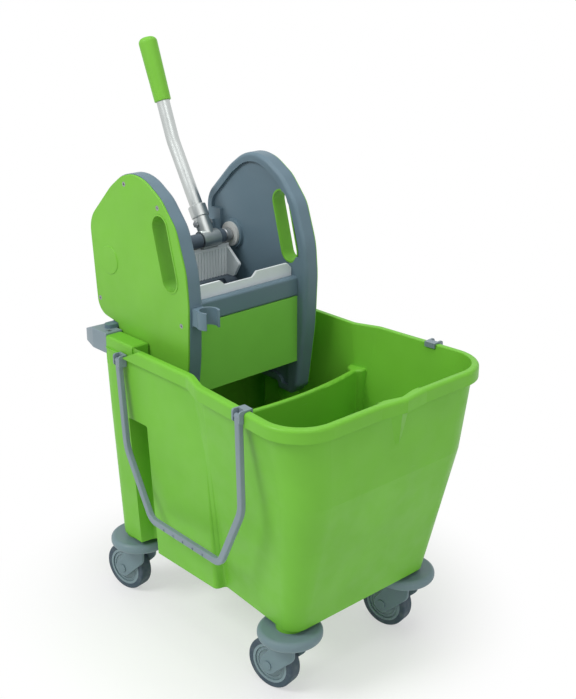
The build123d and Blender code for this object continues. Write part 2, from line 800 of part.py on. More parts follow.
with BuildPart() as cheek_shell:
    extrude(side(-cheek_in_y) * cheek_outline(), amount=cheek_t)
    fillet(cheek_shell.faces().sort_by(Axis.Y)[-1].edges(), radius=cheek_round)
    # recessed panel on the jaw's side, between the front and rear members
    with BuildSketch(side(-cheek_in_y)):
        add(cheek_outline(-cheek_rim))
        with Locations((panel_x + 30, plate_top_z - 150)):
            Rectangle(60 + 2 * (bar_t + plate_t + 4), 320, mode=Mode.SUBTRACT)
        with Locations((rear_panel_top[0], rear_panel_top[1] - 50)):
            Rectangle(34, 140, mode=Mode.SUBTRACT)
        with Locations((shaft_x, shaft_z)):
            Circle(shaft_boss_r, mode=Mode.SUBTRACT)
    extrude(amount=cheek_recess, mode=Mode.SUBTRACT)
    # pocket behind the cover
    with BuildSketch(side(-pocket_y)):
        add(cheek_outline(-cheek_wall))
        with Locations(*cover_screw_spots):
            Circle(boss_r, mode=Mode.SUBTRACT)
        add(hand_slot(slot_collar + slot_frame), mode=Mode.SUBTRACT)
    extrude(amount=cheek_out_y - pocket_y, mode=Mode.SUBTRACT)
    with BuildSketch(side(-panel_y)):
        with Locations((shaft_x, shaft_z)):
            Circle(shaft_boss_r)
    extrude(amount=bush_end_y - panel_y)
    with BuildSketch(side(-cheek_in_y)):
        with Locations((shaft_x, shaft_z)):
            Circle(bush_r)
    extrude(amount=cheek_t, mode=Mode.SUBTRACT)
    extrude(side(-cheek_in_y) * hand_slot(slot_collar), amount=cheek_t, mode=Mode.SUBTRACT)
    with BuildSketch(side(-cheek_out_y)):
        with Locations(*cover_screw_spots):
            Circle(screw_r)
    extrude(amount=-screw_depth, mode=Mode.SUBTRACT)
    with BuildSketch(side(-cheek_in_y)):
        with Locations(*member_screw_spots):
            Circle(member_screw_r)
    extrude(amount=cheek_t, mode=Mode.SUBTRACT)
    # arm and pin that hang the wringer on the rear bracket
    with BuildSketch(level(bracket_top_z)):
        with Locations((pin_x, -(pin_y + panel_y + 2) / 2)):
            Rectangle(2 * arm_half, pin_y - panel_y - 2)
        with Locations((pin_x, -pin_y)):
            Circle(arm_half)
    extrude(amount=arm_t)
    with BuildSketch(level(bracket_top_z)):
        with Locations((pin_x, -(cheek_out_y + panel_y + 2) / 2)):
            Rectangle(2 * arm_half, cheek_out_y - panel_y - 2)
    extrude(amount=arm_t + 8)
    with BuildSketch(level(pin_low_z)):
        with Locations((pin_x, -pin_y)):
            Circle(pin_r)
    extrude(amount=bracket_top_z - pin_low_z)

with BuildPart() as cheek_shell_left:
    add(cheek_shell.part)
    # pad that carries the mop clip
    with BuildSketch(level(mop_clip_low_z - 2)):
        with Locations((mop_pad_x - 5, -mop_clip_y - 4.5)):
            Rectangle(10, 18)
    extrude(amount=mop_clip_h + 4)
    with BuildSketch(across(mop_pad_x)):
        with Locations((-mop_clip_y - 4.5, mop_clip_low_z + mop_clip_h / 2)):
            Circle(screw_r)
    extrude(amount=-mop_screw_l, mode=Mode.SUBTRACT)
with BuildPart() as cheek_shell_right:
    mirror(cheek_shell.part, about=Plane.XZ)
save(cheek_shell_left.part, "cheek_shell_left")
save(cheek_shell_right.part, "cheek_shell_right")

with BuildPart() as cheek_cover:
    extrude(side(-cheek_out_y) * cheek_outline(-cover_inset), amount=cover_t)
    fillet(cheek_cover.faces().sort_by(Axis.Y)[0].edges(), radius=cover_round)
    with BuildSketch(side(-cheek_out_y - cover_t)):
        with Locations((round_boss_x, round_boss_z)):
            Circle(round_boss_r)
    extrude(amount=round_boss_h, taper=40)
    with BuildSketch(side(-cheek_out_y - cover_t)):
        add(hand_slot(slot_collar))
    extrude(amount=slot_bead)
    # clear of the hanging arm, and the collar that lines the slot
    with BuildSketch(side(-cheek_out_y)):
        with Locations((pin_x, bracket_top_z + arm_t / 2)):
            Rectangle(2 * arm_half + 2, arm_t + 2)
    extrude(amount=cover_t, mode=Mode.SUBTRACT)
    collar_end = side(-panel_y + slot_lip)
    collar_l = cheek_out_y - panel_y + slot_lip
    extrude(collar_end * hand_slot(slot_collar - running), amount=collar_l)
    extrude(collar_end * hand_slot(), amount=collar_l + cover_t + slot_bead, mode=Mode.SUBTRACT)
    with BuildSketch(side(-cheek_out_y)):
        with Locations(*cover_screw_spots):
            Circle(screw_r)
    extrude(amount=cover_t, mode=Mode.SUBTRACT)
    with BuildSketch(side(-cheek_out_y - cover_t)):
        with Locations(*cover_screw_spots):
            Circle(screw_head_r + fit_gap)
    extrude(amount=-screw_head_h, mode=Mode.SUBTRACT)
save_pair(cheek_cover.part, "cheek_cover")

with BuildPart() as cover_screws:
    for side_y, sign in ((-cheek_out_y - cover_t, -1), (cheek_out_y + cover_t, 1)):
        with BuildSketch(side(side_y)):
            with Locations(*cover_screw_spots):
                Circle(screw_r)
        extrude(amount=sign * (cover_t + screw_depth - 1))
        with BuildSketch(side(side_y)):
            with Locations(*cover_screw_spots):
                Circle(screw_head_r)
        extrude(amount=sign * screw_head_h)
        with BuildSketch(side(side_y)):
            for spot in cover_screw_spots:
                with Locations(spot):
                    Rectangle(4.4, 1)
                    Rectangle(1, 4.4)
        extrude(amount=sign * 1.2, mode=Mode.SUBTRACT)
save(cover_screws.part, "cover_screws")

# ------------------------------------------------ members between the cheeks
with BuildPart() as front_crossbar:
    with BuildSketch(side(cheek_in_y)):
        with Locations((panel_x - bar_t / 2, bar_low_z + bar_h / 2)):
            RectangleRounded(bar_t, bar_h, 4)
    extrude(amount=2 * cheek_in_y)
    for y in (cheek_in_y, -cheek_in_y):
        with BuildSketch(side(y)):
            with Locations(*member_screw_spots[:2]):
                Circle(member_screw_r)
        extrude(amount=member_screw_l if y > 0 else -member_screw_l, mode=Mode.SUBTRACT)
save(front_crossbar.part, "front_crossbar")

with BuildPart() as front_panel:
    with BuildSketch(across(panel_x - panel_t)):
        with Locations((0, (panel_low_z + bar_low_z) / 2)):
            Rectangle(2 * cheek_in_y, bar_low_z - panel_low_z)
    extrude(amount=panel_t)
    for y in (cheek_in_y, -cheek_in_y + lug_l):
        with BuildSketch(side(y)):
            for x, z in member_screw_spots[2:]:
                with Locations((x + 0.5, z)):
                    Rectangle(2 * lug_r + 1, 2 * lug_r)
            with Locations(*member_screw_spots[2:]):
                Circle(member_screw_r, mode=Mode.SUBTRACT)
        extrude(amount=lug_l)
save(front_panel.part, "front_panel")

with BuildPart() as member_screws:
    for y, sign in ((-pocket_y, -1), (pocket_y, 1)):
        with BuildSketch(side(y)):
            with Locations(*member_screw_spots):
                Circle(member_screw_r)
        extrude(amount=sign * (pocket_y - cheek_in_y + member_screw_l - 0.5))
        with BuildSketch(side(y)):
            with Locations(*member_screw_spots):
                Circle(member_screw_head_r)
        extrude(amount=-sign * 3)
save(member_screws.part, "member_screws")

# fixed press plate, ribbed on the jaw's side and dipped along the top
plate_x = panel_x - bar_t - plate_t
with BuildPart() as fixed_press_plate:
    with BuildSketch(across(plate_x)):
        with BuildLine():
            FilletPolyline((-cheek_in_y, plate_low_z), (cheek_in_y, plate_low_z),
                           (cheek_in_y, plate_top_z - plate_dip), (cheek_in_y - plate_dip, plate_top_z),
                           (30, plate_top_z), (22, plate_top_z - plate_dip), (-33, plate_top_z - plate_dip),
                           (-41, plate_top_z), (-cheek_in_y + plate_dip, plate_top_z),
                           (-cheek_in_y, plate_top_z - plate_dip), radius=3, close=True)
        make_face()
    extrude(amount=plate_t)
    with BuildSketch(across(plate_x - rib_h)):
        with Locations((0, (plate_low_z + plate_top_z - plate_dip) / 2)):
            with GridLocations(rib_pitch, 1, 33, 1):
                Rectangle(rib_w, plate_top_z - plate_dip - plate_low_z - 8)
    extrude(amount=rib_h)
save(fixed_press_plate.part, "fixed_press_plate")

sieve_front_x = panel_x - panel_t
sieve_rear_x = rear_panel_low[0] + 4
with BuildPart() as sieve_plate:
    with BuildSketch(level(sieve_z)):
        with Locations(((sieve_front_x + sieve_rear_x) / 2, 0)):
            Rectangle(sieve_front_x - sieve_rear_x, 2 * cheek_in_y)
        with Locations(((sieve_front_x + sieve_rear_x) / 2 - 6, 0)):
            Rectangle(80, 2 * panel_y)
        with Locations(((sieve_front_x + sieve_rear_x) / 2, 0)):
            with HexLocations(drain_pitch / 2, 13, 9):
                Circle(drain_r, mode=Mode.SUBTRACT)
    extrude(amount=sieve_t)
save(sieve_plate.part, "sieve_plate")

with BuildPart() as rear_panel:
    with BuildSketch(side(cheek_in_y)):
        with BuildLine():
            FilletPolyline(rear_panel_low, rear_panel_bend, rear_panel_turn, rear_panel_top, radius=8)
        trace(line_width=rear_panel_t)
    extrude(amount=2 * cheek_in_y)
    # slot in which the lever comes down
    with BuildSketch(across(rear_panel_top[0] - 10)):
        with Locations((lever_y, rear_slot_z + 60)):
            RectangleRounded(2 * rear_slot_half, 120, 12)
    extrude(amount=40, mode=Mode.SUBTRACT)
save(rear_panel.part, "rear_panel")

with BuildPart() as tie_rod:
    with BuildSketch(side(panel_y)):
        with Locations((tie_x, sieve_z - tie_r)):
            Circle(tie_r)
    extrude(amount=2 * panel_y)
save(tie_rod.part, "tie_rod")

# spring clip for the mop's handle: an upright C open to the front
clip_centre = (mop_clip_x, -mop_clip_y)
mop_mid_z = mop_clip_low_z + mop_clip_h / 2
with BuildPart() as mop_clip:
    with BuildSketch(level(mop_clip_low_z)):
        with Locations(clip_centre):
            Circle(mop_clip_in_r + mop_clip_t)
        with Locations(((mop_pad_x + mop_clip_x) / 2, -mop_clip_y - 4.5)):
            Rectangle(mop_clip_x - mop_pad_x, 18)
        with Locations(clip_centre):
            Circle(mop_clip_in_r, mode=Mode.SUBTRACT)
            with BuildLine():
                Polyline((mop_clip_x, -mop_clip_y), (mop_clip_x + 40, -mop_clip_y - mop_clip_reach),
                         (mop_clip_x + 40, -mop_clip_y + mop_clip_reach), close=True)
            make_face(mode=Mode.SUBTRACT)
    extrude(amount=mop_clip_h)
    with BuildSketch(across(mop_pad_x)):
        with Locations((-mop_clip_y - 4.5, mop_mid_z)):
            Circle(screw_r)
    extrude(amount=20, mode=Mode.SUBTRACT)
    with BuildSketch(across(mop_pad_x + 3.5)):
        with Locations((-mop_clip_y - 4.5, mop_mid_z)):
            Circle(screw_head_r + fit_gap)
    extrude(amount=20, mode=Mode.SUBTRACT)
save(mop_clip.part, "mop_clip")

with BuildPart() as mop_clip_screw:
    with BuildSketch(across(mop_pad_x + 3.5)):
        with Locations((-mop_clip_y - 4.5, mop_mid_z)):
            Circle(screw_r)
    extrude(amount=-3.5 - mop_screw_l + 0.5)
    with BuildSketch(across(mop_pad_x + 3.5)):
        with Locations((-mop_clip_y - 4.5, mop_mid_z)):
            Circle(screw_head_r)
    extrude(amount=screw_head_h)
save(mop_clip_screw.part, "mop_clip_screw")


# ------------------------------------------------------ shaft, press, lever
def rod(low_y, high_y, x, z, radius, bore=0.0):
    """A round bar or tube along Y, between two stations."""
    with BuildPart() as bar:
        with BuildSketch(side(high_y)):
            with Locations((x, z)):
                Circle(radius)
                if bore:
                    Circle(bore, mode=Mode.SUBTRACT)
        extrude(amount=high_y - low_y)
    return bar.part


with BuildPart() as shaft_bush:
    add(rod(-bush_end_y, -cheek_in_y, shaft_x, shaft_z, bush_r, shaft_r + running))
    add(rod(-cheek_in_y, -cheek_in_y + bush_flange_t, shaft_x, shaft_z, bush_flange_r, shaft_r + running))
save_pair(shaft_bush.part, "shaft_bush")

groove_y = bush_end_y + 0.2
with BuildPart() as press_shaft:
    add(rod(-shaft_end_y, shaft_end_y, shaft_x, shaft_z, shaft_r))
    chamfer(press_shaft.edges().filter_by(GeomType.CIRCLE), length=0.8)
    for y in (groove_y, -groove_y - circlip_t):
        add(rod(y, y + circlip_t, shaft_x, shaft_z, shaft_r + 1, shaft_r - 1), mode=Mode.SUBTRACT)
save(press_shaft.part, "press_shaft")

with BuildPart() as shaft_circlips:
    for y in (groove_y, -groove_y - circlip_t):
        add(rod(y, y + circlip_t, shaft_x, shaft_z, circlip_r, shaft_r - 1))
save(shaft_circlips.part, "shaft_circlips")

collar_y = cheek_in_y - bush_flange_t - 1 - set_collar_l
with BuildPart() as set_collar:
    add(rod(collar_y, collar_y + set_collar_l, shaft_x, shaft_z, set_collar_r, shaft_r))
    chamfer(set_collar.edges().filter_by(GeomType.CIRCLE).sort_by(SortBy.RADIUS)[-2:], length=0.8)
save(set_collar.part, "set_collar")

lever_room = rod(lever_y - socket_half - 1, lever_y + socket_half + 1, shaft_x, shaft_z, socket_hub_r + 1.5)

# carrier: a cradle on the shaft, a back plate with a shelf, and a blade below
back_x = press_turn[0] - press_skin
with BuildPart() as press_carrier:
    with BuildSketch(side(press_half)):
        with BuildLine():
            Polyline((press_turn[0], press_top_z), press_turn, press_low,
                     (press_low[0] - press_skin, press_low[1]),
                     (back_x, press_turn[1]), (back_x, press_top_z), close=True)
        make_face()
        with BuildLine():
            Polyline((back_x, press_shelf_z), (beam_x, press_shelf_z), (beam_x, press_shelf_z - beam_h + 4),
                     (beam_x - 5, press_shelf_z - beam_h), (back_x, press_shelf_z - beam_h), close=True)
        make_face()
    extrude(amount=2 * press_half)
    for low, high in ((-cradle_half, lever_y - socket_half - 1), (lever_y + socket_half + 1, cradle_half)):
        with BuildSketch(side(high)):
            with Locations((shaft_x, shaft_z)):
                Circle(shaft_r + cradle_t)
            with Locations((press_turn[0] - press_skin / 2, (press_top_z + shaft_z) / 2)):
                Rectangle(press_skin, shaft_z - press_top_z)
        extrude(amount=high - low)
    add(rod(-press_half, press_half, shaft_x, shaft_z, shaft_r), mode=Mode.SUBTRACT)
    add(lever_room, mode=Mode.SUBTRACT)
    # round boss at the shelf's right end
    add(rod(press_half - boss_l, press_half, beam_x - 2, press_shelf_z - beam_boss_r, beam_boss_r))
    with BuildSketch(across(back_x)):
        with Locations(*press_screw_spots):
            Circle(screw_r)
    extrude(amount=press_skin, mode=Mode.SUBTRACT)
save(press_carrier.part, "press_carrier")

with BuildPart() as press_plate:
    with BuildSketch(across(press_turn[0])):
        with Locations((0, (press_shelf_z + press_top_z) / 2)):
            Rectangle(2 * press_half, press_top_z - press_shelf_z)
    extrude(amount=press_plate_t)
    with BuildSketch(across(press_turn[0] + press_plate_t)):
        with Locations((0, (press_shelf_z + press_top_z - 7) / 2)):
            with GridLocations(rib_pitch, 1, 29, 1):
                Rectangle(rib_w, press_top_z - press_shelf_z - 7)
    extrude(amount=rib_h)
    # three-cornered gusset at each end
    for y in (press_half, -press_half + gusset_t):
        with BuildSketch(side(y)):
            with BuildLine():
                FilletPolyline((press_turn[0], press_shelf_z), (beam_x + 4, press_shelf_z),
                               (gusset_x, gusset_z),
                               (press_turn[0], press_top_z), radius=[0.5, 6, 4, 0.5], close=True)
            make_face()
        extrude(amount=gusset_t)
    add(lever_room, mode=Mode.SUBTRACT)
    with BuildSketch(across(press_turn[0])):
        with Locations(*press_screw_spots):
            Circle(screw_r)
    extrude(amount=press_screw_l - 0.5, mode=Mode.SUBTRACT)
save(press_plate.part, "press_plate")

with BuildPart() as press_plate_screws:
    with BuildSketch(across(back_x)):
        with Locations(*press_screw_spots):
            Circle(screw_r)
    extrude(amount=press_skin + press_screw_l - 1)
    with BuildSketch(across(back_x)):
        with Locations(*press_screw_spots):
            Circle(screw_head_r)
    extrude(amount=-screw_head_h)
save(press_plate_screws.part, "press_plate_screws")

# return spring: a coil round the shaft with one leg on the carrier's back
coil_r = shaft_r + spring_wire_r + 0.6
coil_y = -cheek_in_y + bush_flange_t + 1 + spring_wire_r
with BuildPart() as return_spring:
    with BuildLine() as wire:
        coil = Helix(pitch=spring_pitch, height=spring_pitch * spring_turns, radius=coil_r,
                     center=(mid_x + shaft_x, coil_y, shaft_z), direction=(0, 1, 0))
        Line(coil @ 1, (coil @ 1) + (coil % 1) * spring_reach)
    with BuildSketch(Plane(origin=wire.line @ 0, z_dir=wire.line % 0)):
        Circle(spring_wire_r)
    sweep()
save(return_spring.part, "return_spring")

# lever: a socket clamped on the shaft, a bent tube and a grip
low_dir = (-cos(radians(lever_tilt)), sin(radians(lever_tilt)))
high_dir = (-cos(radians(grip_tilt)), sin(radians(grip_tilt)))
low_rise = Vector(low_dir[0], 0, low_dir[1])
high_rise = Vector(high_dir[0], 0, high_dir[1])
lever_foot = Vector(mid_x + shaft_x, lever_y, shaft_z)
lever_knee = lever_foot + low_rise * lever_low
lever_tip = lever_knee + high_rise * lever_high


def up_lever(rise):
    """A plane square to the lever's lower run, rise above the shaft."""
    return Plane(origin=lever_foot + low_rise * rise, x_dir=(0, 1, 0), z_dir=low_rise)


with BuildPart() as lever_socket:
    add(rod(lever_y - socket_half, lever_y + socket_half, shaft_x, shaft_z, socket_hub_r))
    with BuildSketch(up_lever(0)):
        Circle(socket_r)
    extrude(amount=socket_l)
    add(rod(lever_y - socket_half, lever_y + socket_half, shaft_x, shaft_z, shaft_r), mode=Mode.SUBTRACT)
    with BuildSketch(up_lever(socket_floor)):
        Circle(tube_r)
    extrude(amount=socket_l, mode=Mode.SUBTRACT)
    with BuildSketch(Plane(origin=lever_foot + low_rise * bolt_rise, x_dir=low_rise, z_dir=(0, 1, 0))):
        Circle(bolt_r)
    extrude(amount=socket_r + 1, both=True, mode=Mode.SUBTRACT)
save(lever_socket.part, "lever_socket")

with BuildPart() as socket_bolt:
    bolt_plane = Plane(origin=lever_foot + low_rise * bolt_rise, x_dir=low_rise, z_dir=(0, 1, 0))
    with BuildSketch(bolt_plane.offset(-socket_r)):
        Circle(bolt_r)
    extrude(amount=2 * socket_r)
    with BuildSketch(bolt_plane.offset(socket_r)):
        RegularPolygon(bolt_head_r, 6)
    extrude(amount=3)
    with BuildSketch(bolt_plane.offset(-socket_r)):
        RegularPolygon(bolt_head_r, 6)
    extrude(amount=-3)
save(socket_bolt.part, "socket_bolt")

with BuildPart() as lever_collar:
    with BuildSketch(up_lever(socket_l)):
        Circle(collar_r)
        Circle(tube_r, mode=Mode.SUBTRACT)
    extrude(amount=collar_l)
    chamfer(lever_collar.edges().filter_by(GeomType.CIRCLE).sort_by(SortBy.RADIUS)[-2:], length=1)
save(lever_collar.part, "lever_collar")

with BuildPart() as lever_tube:
    with BuildLine() as run:
        FilletPolyline(lever_foot + low_rise * socket_floor, lever_knee, lever_tip - high_rise * grip_cap,
                       radius=lever_bend_r)
    with BuildSketch(up_lever(socket_floor)):
        Circle(tube_r)
        Circle(tube_r - tube_wall, mode=Mode.SUBTRACT)
    sweep()
    with BuildSketch(Plane(origin=lever_foot + low_rise * bolt_rise, x_dir=low_rise, z_dir=(0, 1, 0))):
        Circle(bolt_r)
    extrude(amount=socket_r + 1, both=True, mode=Mode.SUBTRACT)
save(lever_tube.part, "lever_tube")

with BuildPart() as lever_grip:
    grip_low = Plane(origin=lever_tip - high_rise * grip_l, x_dir=(0, 1, 0), z_dir=high_rise)
    with BuildSketch(grip_low):
        Circle(grip_r)
    with BuildSketch(grip_low.offset(grip_l)):
        Circle(grip_end_r)
    loft()
    rims = lever_grip.edges().filter_by(GeomType.CIRCLE).sort_by(SortBy.RADIUS)
    fillet(rims[-1], radius=grip_round)
    fillet(lever_grip.edges().filter_by(GeomType.CIRCLE).sort_by(Axis.Z)[0], radius=1.5)
    with BuildSketch(grip_low):
        Circle(tube_r)
    extrude(amount=grip_l - grip_cap, mode=Mode.SUBTRACT)
save(lever_grip.part, "lever_grip")
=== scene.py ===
# %% [markdown]
# # A mop bucket with a down-press wringer
# The frame of the bucket comes from the CAD model and already has its true size.
# This lesson dresses it: it gives each part the surface of the real material and
# adds the small pieces that are easier to model by hand than to draw in CAD.
# Blender works in metres here, so 0.001 is one millimetre.

# %% Load the CAD frame
import json
from math import atan2, pi

import bmesh
import bpy
from mathutils import Matrix, Vector


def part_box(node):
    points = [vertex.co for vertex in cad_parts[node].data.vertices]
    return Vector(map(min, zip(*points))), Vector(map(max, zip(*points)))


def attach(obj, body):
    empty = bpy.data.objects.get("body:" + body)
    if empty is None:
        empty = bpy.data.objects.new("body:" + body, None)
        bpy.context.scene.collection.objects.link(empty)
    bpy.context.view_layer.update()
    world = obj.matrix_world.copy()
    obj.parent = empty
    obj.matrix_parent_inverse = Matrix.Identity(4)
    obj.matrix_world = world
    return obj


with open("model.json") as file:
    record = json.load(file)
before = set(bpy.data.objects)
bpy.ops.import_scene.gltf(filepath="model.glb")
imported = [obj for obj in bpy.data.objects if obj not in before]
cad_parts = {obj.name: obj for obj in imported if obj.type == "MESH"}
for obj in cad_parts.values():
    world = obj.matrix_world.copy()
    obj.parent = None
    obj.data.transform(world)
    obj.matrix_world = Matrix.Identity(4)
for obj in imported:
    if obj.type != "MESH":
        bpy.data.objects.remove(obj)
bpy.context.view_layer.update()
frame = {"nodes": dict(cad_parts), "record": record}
nodes = frame["nodes"]
print(len(nodes), "named CAD nodes")

# %% [markdown]
# ## Camera
# A camera can be turned by hand, but aiming it at a point is easier to repeat.
# The bucket is seen from its front left corner and from a little above, and a
# moderately long lens keeps its upright edges nearly parallel.

# %% Camera at the front left corner
camera_place = (1.3128, -1.1151, 1.0977)
look_at = Vector((0.0501, 0.0330, 0.4476))
lens_length = 61.94  # millimetres, on a sensor 36 mm wide
bpy.ops.object.select_all(action="DESELECT")
bpy.ops.object.camera_add(location=camera_place)
camera = bpy.context.object
camera.name = "corner_camera"
camera.rotation_euler = (look_at - camera.location).to_track_quat("-Z", "Y").to_euler()
camera.data.lens = lens_length
camera.data.sensor_width = 36.0
camera.data.clip_end = 60.0
bpy.context.scene.camera = camera
print("camera looks", [round(v, 2) for v in (look_at - camera.location).normalized()])

# %% [markdown]
# ## Lights and floor
# Plastic shows its form best under large soft lamps. The key lamp stands to the
# left and high, so the long side is bright, the front wall is a shade darker and
# the bail handle drops a soft shadow on the wall beside it. A weak lamp on the
# other side opens the shadows, and the world fills in the rest. Each lamp could be
# a sun, but an area lamp gives a wide highlight that runs softly over a curved wall.

# %% Soft studio lamps
def softbox(name, place, aim, width, watts):
    """A square area lamp at place that points at aim."""
    bpy.ops.object.select_all(action="DESELECT")
    bpy.ops.object.light_add(type="AREA", location=place)
    lamp = bpy.context.object
    lamp.name = name
    lamp.rotation_euler = (Vector(aim) - Vector(place)).to_track_quat("-Z", "Y").to_euler()
    lamp.data.size = width
    lamp.data.energy = watts
    print(name, "stands", round((Vector(aim) - Vector(place)).length, 2), "m from the bucket")


softbox("key_softbox", (-0.6, -2.2, 2.5), (0.0, 0.0, 0.4), 1.2, 45.0)
softbox("front_softbox", (2.4, -0.7, 1.7), (0.0, 0.0, 0.5), 1.2, 8.0)
softbox("top_softbox", (0.5, 0.1, 3.0), (0.0, 0.0, 0.4), 1.6, 28.0)

# %% [markdown]
# The world has two jobs at once: it fills the shadows gently, and it looks white
# behind the bucket. A painted backdrop could do both, but it would also show in
# every gloss. Light Path tells the two jobs apart instead: what is seen directly, in
# a gloss or through glass is pure white, and all other rays get the weaker fill.

# %% Helpers for nodes
def node(tree, kind, place, **settings):
    """Adds a node. A setting goes to the socket of that name, or else to the node."""
    new = tree.nodes.new(kind)
    new.location = place
    for key, value in settings.items():
        if key in new.inputs:
            new.inputs[key].default_value = value
        else:
            setattr(new, key, value)
    return new


def seen_directly(tree, place):
    """One where the surface is seen by the eye, in a gloss or through glass."""
    rays = node(tree, "ShaderNodeLightPath", place)
    both = node(tree, "ShaderNodeMath", (place[0] + 200, place[1]), operation="MAXIMUM")
    every = node(tree, "ShaderNodeMath", (place[0] + 400, place[1]), operation="MAXIMUM")
    tree.links.new(rays.outputs["Is Camera Ray"], both.inputs[0])
    tree.links.new(rays.outputs["Is Glossy Ray"], both.inputs[1])
    tree.links.new(both.outputs[0], every.inputs[0])
    tree.links.new(rays.outputs["Is Transmission Ray"], every.inputs[1])
    return every.outputs[0]


print("node helpers are ready")

# %% World that fills the shadows and looks white
fill_strength = 0.42
white = (1, 1, 1, 1)
world = bpy.data.worlds.new("studio_world")
bpy.context.scene.world = world
world.use_nodes = True
sky = world.node_tree
sky.nodes.clear()
fill_light = node(sky, "ShaderNodeBackground", (200, 0), Color=white, Strength=fill_strength)
white_wall = node(sky, "ShaderNodeBackground", (200, -150), Color=white, Strength=1.0)
either = node(sky, "ShaderNodeMixShader", (450, 0))
sky_out = node(sky, "ShaderNodeOutputWorld", (650, 0))
sky.links.new(seen_directly(sky, (-500, 250)), either.inputs[0])
sky.links.new(fill_light.outputs[0], either.inputs[1])
sky.links.new(white_wall.outputs[0], either.inputs[2])
sky.links.new(either.outputs[0], sky_out.inputs["Surface"])
print("the world lights with a strength of", fill_strength)

# %% [markdown]
# The floor is one large plane. Near the bucket the eye sees it half as pale paint,
# which takes the shadows of the castors, and half as a white glow, painted light that
# makes those shadows lighter. Further out it turns into the same white as the world,
# so no horizon shows. The change follows the distance from the middle of the floor.

# %% Pale floor that fades to white
fade_start = 0.26  # metres from the middle of the floor
fade_end = 0.46
bpy.ops.object.select_all(action="DESELECT")
bpy.ops.mesh.primitive_plane_add(size=60.0, location=(0, 0, -0.0002))
floor = bpy.context.object
floor.name = "studio_floor"
paint = bpy.data.materials.new("pale_floor")
paint.use_nodes = True
tree = paint.node_tree
tree.nodes.clear()
where = node(tree, "ShaderNodeTexCoord", (-900, -100))
reach = node(tree, "ShaderNodeVectorMath", (-700, -100), operation="LENGTH")
fade = node(tree, "ShaderNodeMapRange", (-500, -100), interpolation_type="SMOOTHSTEP")
fade.inputs["From Min"].default_value = fade_start
fade.inputs["From Max"].default_value = fade_end
# Even next to the bucket half of the floor is white glow, painted light over the castor shadows.
fade.inputs["To Min"].default_value = 0.5
fade.inputs["To Max"].default_value = 1.0
share = node(tree, "ShaderNodeMath", (-250, 0), operation="MULTIPLY")
matt = node(tree, "ShaderNodeBsdfDiffuse", (-50, 100), Color=(0.97, 0.97, 0.97, 1))
glow = node(tree, "ShaderNodeEmission", (-50, -50), Color=white, Strength=1.0)
joined = node(tree, "ShaderNodeMixShader", (200, 0))
out = node(tree, "ShaderNodeOutputMaterial", (400, 0))
tree.links.new(where.outputs["Object"], reach.inputs[0])
tree.links.new(reach.outputs["Value"], fade.inputs["Value"])
tree.links.new(seen_directly(tree, (-900, 300)), share.inputs[0])
tree.links.new(fade.outputs["Result"], share.inputs[1])
tree.links.new(share.outputs[0], joined.inputs[0])
tree.links.new(matt.outputs[0], joined.inputs[1])
tree.links.new(glow.outputs[0], joined.inputs[2])
tree.links.new(joined.outputs[0], out.inputs["Surface"])
floor.data.materials.append(paint)
bpy.context.scene.view_settings.view_transform = "Standard"
print("floor spans", floor.dimensions.x, "m")

# %% [markdown]
# ## Moulded plastic
# Nearly everything here is injection moulded polypropylene. A single flat colour
# would look like a drawing, because a real moulding shows three things: a faint
# cloudiness where the colour flowed, a fine grain from the etched steel mould, and
# rubbed or scratched patches that catch the light differently. All three can be
# made from noise. The Object coordinates are the true metres of the bucket, so the
# grain has its real size on a big wall and on a small clip alike.
#
# Every moulded edge also has a small radius. The Bevel node rounds the edge only in
# the way it takes the light, which is enough for a radius of half a millimetre.

# %% Noise at its real size
def cloud(tree, coords, place, size, detail=3.0, stretch=(1, 1, 1)):
    """Noise whose blobs are about size metres across."""
    squeeze = node(tree, "ShaderNodeMapping", place)
    squeeze.inputs["Scale"].default_value = stretch
    noise = node(tree, "ShaderNodeTexNoise", (place[0] + 200, place[1]))
    noise.inputs["Scale"].default_value = 1.0 / size
    noise.inputs["Detail"].default_value = detail
    tree.links.new(coords, squeeze.inputs["Vector"])
    tree.links.new(squeeze.outputs["Vector"], noise.inputs["Vector"])
    return noise.outputs["Fac"]


def spread(tree, value, place, low, high, start=0.35, end=0.65):
    """Stretches a noise's middle values over the range from low to high."""
    span = node(tree, "ShaderNodeMapRange", place)
    span.inputs["From Min"].default_value = start
    span.inputs["From Max"].default_value = end
    span.inputs["To Min"].default_value = low
    span.inputs["To Max"].default_value = high
    tree.links.new(value, span.inputs["Value"])
    return span.outputs["Result"]


def between(tree, share, place, first, second):
    """A colour that goes from first to second as share goes from 0 to 1."""
    blend = node(tree, "ShaderNodeMix", place, data_type="RGBA")
    blend.inputs[7].default_value = (*second, 1)
    if isinstance(first, tuple):
        blend.inputs[6].default_value = (*first, 1)
    else:
        tree.links.new(first, blend.inputs[6])
    tree.links.new(share, blend.inputs[0])
    return blend.outputs[2]


mould_grain = 0.0009
print("a grain of", mould_grain * 1000, "mm needs a noise scale of", round(1 / mould_grain))

# %% [markdown]
# Each material starts the same way: a Principled shader, the metre coordinates and,
# at the end, a relief. The relief is only a few hundredths of a millimetre deep, so
# it is a bump in the shading and not real geometry. The Bevel node goes into the
# bump's Normal socket, so the fine grain also runs over the rounded edges.

# %% Start a material, and give it relief
def surface(name):
    """An empty material with a shader, the metre coordinates and its tree."""
    material = bpy.data.materials.new(name)
    material.use_nodes = True
    tree = material.node_tree
    shader = tree.nodes["Principled BSDF"]
    coords = node(tree, "ShaderNodeTexCoord", (-1300, 0)).outputs["Object"]
    return material, tree, shader, coords


edge_radius = 0.0005


